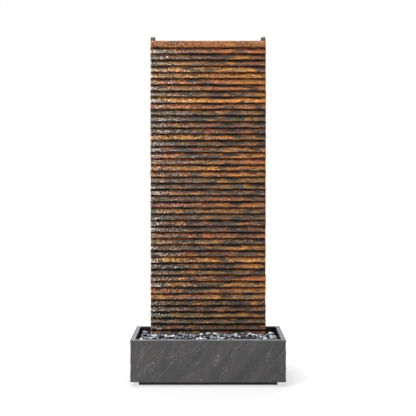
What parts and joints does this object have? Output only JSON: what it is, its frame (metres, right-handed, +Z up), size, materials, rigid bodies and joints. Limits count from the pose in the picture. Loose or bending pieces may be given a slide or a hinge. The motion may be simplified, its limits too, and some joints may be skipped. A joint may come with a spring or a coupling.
{
  "type": "water wall",
  "caption": "Free-standing slate water wall: split slate courses on a post frame in a pebble-topped basin with a pump, hose and spill trough.",
  "frame": {"origin": "on the floor under the middle of the basin", "axes": "+Z up, +Y from the front towards the back, +X to the right seen from the front"},
  "size_m": [0.775, 0.35, 1.792],
  "materials": {
    "plinth": "matte",
    "basin_slate": "matte",
    "liner_plastic": "satin",
    "rubber_black": "matte",
    "rubber_red": "matte",
    "drain_plastic": "satin",
    "tray_steel": "satin",
    "river_stone": "polished",
    "stainless": "satin",
    "zinc_steel": "satin",
    "screw_steel": "polished",
    "fibre_cement": "matte",
    "cover_paint": "matte",
    "trough_steel": "satin",
    "pipe_plastic": "satin",
    "cap_plastic": "satin",
    "hose_plastic": "gloss",
    "pump_plastic": "satin",
    "dial_plastic": "satin",
    "shaft_ceramic": "polished",
    "rotor_plastic": "satin",
    "slate": "satin"
  },
  "bodies": {
    "water_wall": {"basin_plinth": "plinth", "basin_shell": "basin_slate", "basin_liner": "liner_plastic", "cable_notch_trim": "rubber_black", "drain_fitting": "drain_plastic", "drain_gasket": "rubber_black", "drain_locknut": "drain_plastic", "post_flanges": "stainless", "flange_screws": "screw_steel", "post_left": "stainless", "post_right": "stainless", "post_cap_left": "stainless", "post_cap_right": "stainless", "shelf_collars": "zinc_steel", "slate_shelf": "zinc_steel", "cross_rails": "zinc_steel", "backer_board": "fibre_cement", "backer_screws": "screw_steel", "rear_cover": "cover_paint", "cover_screws": "screw_steel", "top_trough": "trough_steel", "spray_tee": "pipe_plastic", "tee_locknut": "pipe_plastic", "spray_bars": "pipe_plastic", "spray_bar_caps": "cap_plastic", "supply_hose": "hose_plastic", "hose_clamps": "screw_steel", "hose_clips": "cap_plastic", "pump_motor": "pump_plastic", "pump_chamber": "pump_plastic", "pump_shaft": "shaft_ceramic", "pump_intake_cage": "pump_plastic", "pump_nozzle": "pump_plastic", "pump_feet": "rubber_black", "pump_cable_gland": "rubber_black", "slate_cap": "slate", "slate_courses_01": "slate", "slate_courses_02": "slate", "slate_courses_03": "slate", "slate_courses_04": "slate", "slate_courses_05": "slate", "slate_courses_06": "slate", "slate_courses_07": "slate", "slate_courses_08": "slate", "slate_courses_09": "slate", "slate_courses_10": "slate", "slate_courses_11": "slate", "slate_courses_12": "slate"},
    "impeller": {"pump_rotor": "rotor_plastic"},
    "flow_dial": {"pump_flow_dial": "dial_plastic"},
    "pebble_tray": {"pebble_tray": "tray_steel", "tray_skirts": "tray_steel", "tray_legs": "tray_steel", "tray_feet": "rubber_black", "pebbles_front": "river_stone", "pebbles_left": "river_stone", "pebbles_right": "river_stone"},
    "drain_plug": {"drain_plug": "rubber_black", "drain_plug_seal": "rubber_red"}
  },
  "joints": [
    {"name": "impeller_spin", "type": "hinge", "parent": "water_wall", "child": "impeller", "pos_m": [0.14, -0.01, 0.0745], "axis": [1, 0, 0], "continuous": true},
    {"name": "flow_dial_turn", "type": "hinge", "parent": "water_wall", "child": "flow_dial", "pos_m": [0.14, -0.01, 0.0745], "axis": [1, 0, 0], "range_deg": [0, 60]},
    {"name": "tray_lift", "type": "slide", "parent": "water_wall", "child": "pebble_tray", "axis": [0, 0, 1], "range_m": [0, 0.25]},
    {"name": "drain_plug_pull", "type": "slide", "parent": "water_wall", "child": "drain_plug", "axis": [0, 1, 0], "range_m": [0, 0.04]}
  ]
}
